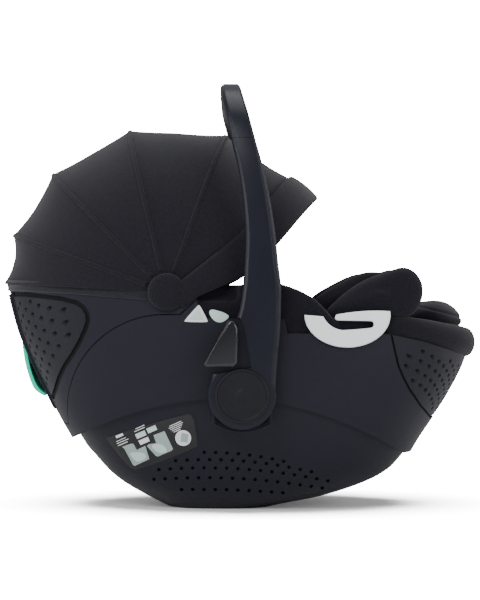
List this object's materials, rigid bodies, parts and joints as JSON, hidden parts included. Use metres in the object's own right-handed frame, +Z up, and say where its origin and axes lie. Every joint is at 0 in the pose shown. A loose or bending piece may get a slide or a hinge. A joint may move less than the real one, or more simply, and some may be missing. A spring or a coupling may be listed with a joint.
{
  "type": "infant car seat",
  "caption": "Rearward-facing infant carrier: moulded rocker bucket, upright U handle, ribbed fan canopy, padded harness seat, belt guides.",
  "frame": {"origin": "centre of the overall length and width, on the floor", "axes": "+X towards the foot end, +Y towards the occupant's left, +Z up"},
  "size_m": [0.6633, 0.444, 0.592],
  "materials": {
    "shell": "fine matte grain, near black",
    "vent": "satin, near black, perforated",
    "handle": "satin, near black with a cool tint",
    "guide": "satin silver grey paint",
    "release": "bright turquoise",
    "red_button": "red",
    "canopy_cloth": "black stretch jersey",
    "cover_cloth": "black stretch jersey over wadding",
    "foam": null,
    "webbing": "black polyester webbing",
    "label": "thin printed film, plain blocks",
    "steel": "zinc-plated"
  },
  "bodies": {
    "bucket": {"lower_shell": "shell", "back_shell": "shell", "foot_vent_panel": "vent", "foam_liner": "foam", "seat_cover": "cover_cloth", "cover_foot_roll": "cover_cloth", "inlay_pad": "cover_cloth", "leg_roll": "cover_cloth", "buckle_body": "shell", "buckle_tongues": "steel", "crotch_strap": "webbing", "adjuster_housing": "shell", "release_bezel": "shell", "dock_bar_rear": "steel", "dock_bar_front": "steel", "info_label": "label", "canopy_rim_band": "canopy_cloth", "canopy_pivot_left": "shell", "canopy_pivot_right": "shell", "pivot_axle_left": "steel", "pivot_axle_right": "steel", "lock_gear_left": "shell", "lock_gear_right": "shell", "adapter_socket_left": "shell", "adapter_socket_right": "shell", "belt_guide_left": "guide", "belt_guide_right": "guide", "rear_vent_panel_left": "vent", "rear_vent_panel_right": "vent", "inlay_wing_left": "cover_cloth", "inlay_wing_right": "cover_cloth", "lap_strap_left": "webbing", "lap_strap_right": "webbing", "shoulder_strap_left": "webbing", "shoulder_strap_right": "webbing", "shoulder_pad_left": "cover_cloth", "shoulder_pad_right": "cover_cloth", "canopy_gore_1": "canopy_cloth"},
    "handle": {"handle_bow": "handle", "handle_arm_left": "handle", "handle_arm_right": "handle", "hub_cap_left": "handle", "hub_cap_right": "handle"},
    "handle_trigger_left": {"trigger_left": "handle"},
    "handle_trigger_right": {"trigger_right": "handle"},
    "canopy_bow_1": {"canopy_rib_1": "steel", "canopy_gore_2": "canopy_cloth"},
    "canopy_bow_2": {"canopy_rib_2": "steel", "canopy_gore_3": "canopy_cloth"},
    "canopy_bow_3": {"canopy_rib_3": "steel", "canopy_gore_4": "canopy_cloth"},
    "canopy_bow_4": {"canopy_rib_4": "steel", "canopy_gore_5": "canopy_cloth"},
    "canopy_front": {"canopy_front_bow": "shell", "canopy_front_band": "canopy_cloth"},
    "headrest": {"headrest_cushion": "cover_cloth", "headrest_frame": "shell"},
    "release_pull": {"release_handle": "release"},
    "buckle_press": {"buckle_button": "red_button"},
    "adjuster_press": {"adjuster_button": "release"}
  },
  "joints": [
    {"name": "handle_turn", "type": "hinge", "parent": "bucket", "child": "handle", "pos_m": [0.003, 0, 0.16], "axis": [0, 1, 0], "range_deg": [-110, 50]},
    {"name": "trigger_left_press", "type": "hinge", "parent": "handle", "child": "handle_trigger_left", "pos_m": [-0.009, 0.213, 0.255], "axis": [0, -1, 0], "range_deg": [0, 10], "stiffness_Nm_per_rad": 1.2, "springref_deg": -5.73},
    {"name": "trigger_right_press", "type": "hinge", "parent": "handle", "child": "handle_trigger_right", "pos_m": [-0.009, -0.213, 0.255], "axis": [0, -1, 0], "range_deg": [0, 10], "stiffness_Nm_per_rad": 1.2, "springref_deg": -5.73},
    {"name": "canopy_fold", "type": "hinge", "parent": "bucket", "child": "canopy_bow_1", "pos_m": [-0.099, 0, 0.299], "axis": [0, -1, 0], "range_deg": [0, 8], "deforming": ["canopy_gore_1", "canopy_gore_2", "canopy_gore_3", "canopy_gore_4", "canopy_gore_5"]},
    {"name": "canopy_fold_2", "type": "hinge", "parent": "canopy_bow_1", "child": "canopy_bow_2", "pos_m": [-0.099, 0, 0.299], "axis": [0, -1, 0], "range_deg": [0, 14], "deforming": ["canopy_gore_1", "canopy_gore_2", "canopy_gore_3", "canopy_gore_4", "canopy_gore_5"]},
    {"name": "canopy_fold_3", "type": "hinge", "parent": "canopy_bow_2", "child": "canopy_bow_3", "pos_m": [-0.099, 0, 0.299], "axis": [0, -1, 0], "range_deg": [0, 18], "deforming": ["canopy_gore_1", "canopy_gore_2", "canopy_gore_3", "canopy_gore_4", "canopy_gore_5"]},
    {"name": "canopy_fold_4", "type": "hinge", "parent": "canopy_bow_3", "child": "canopy_bow_4", "pos_m": [-0.099, 0, 0.299], "axis": [0, -1, 0], "range_deg": [0, 20], "deforming": ["canopy_gore_1", "canopy_gore_2", "canopy_gore_3", "canopy_gore_4", "canopy_gore_5"]},
    {"name": "canopy_fold_5", "type": "hinge", "parent": "canopy_bow_4", "child": "canopy_front", "pos_m": [-0.099, 0, 0.299], "axis": [0, -1, 0], "range_deg": [0, 16], "deforming": ["canopy_gore_1", "canopy_gore_2", "canopy_gore_3", "canopy_gore_4", "canopy_gore_5"]},
    {"name": "headrest_slide", "type": "slide", "parent": "bucket", "child": "headrest", "axis": [-0.7771, 0, 0.6293], "range_m": [0, 0.05], "deforming": ["shoulder_strap_left", "shoulder_strap_right", "shoulder_pad_left", "shoulder_pad_right"]},
    {"name": "release_pull_turn", "type": "hinge", "parent": "bucket", "child": "release_pull", "pos_m": [-0.302, 0, 0.226], "axis": [0, 1, 0], "range_deg": [0, 12], "stiffness_Nm_per_rad": 2, "springref_deg": -5.73},
    {"name": "buckle_button_press", "type": "slide", "parent": "bucket", "child": "buckle_press", "axis": [-0.4439, 0, -0.8961], "range_m": [0, 0.002], "stiffness_N_per_m": 1500, "springref_m": -0.0005},
    {"name": "adjuster_button_press", "type": "slide", "parent": "bucket", "child": "adjuster_press", "axis": [0.6131, 0, -0.79], "range_m": [0, 0.0015], "stiffness_N_per_m": 1500, "springref_m": -0.0005}
  ],
  "couplings": [
    {"joint": "canopy_fold_2", "follows": "canopy_fold", "ratio": 1.75},
    {"joint": "canopy_fold_3", "follows": "canopy_fold", "ratio": 2.25},
    {"joint": "canopy_fold_4", "follows": "canopy_fold", "ratio": 2.5},
    {"joint": "canopy_fold_5", "follows": "canopy_fold", "ratio": 2}
  ]
}
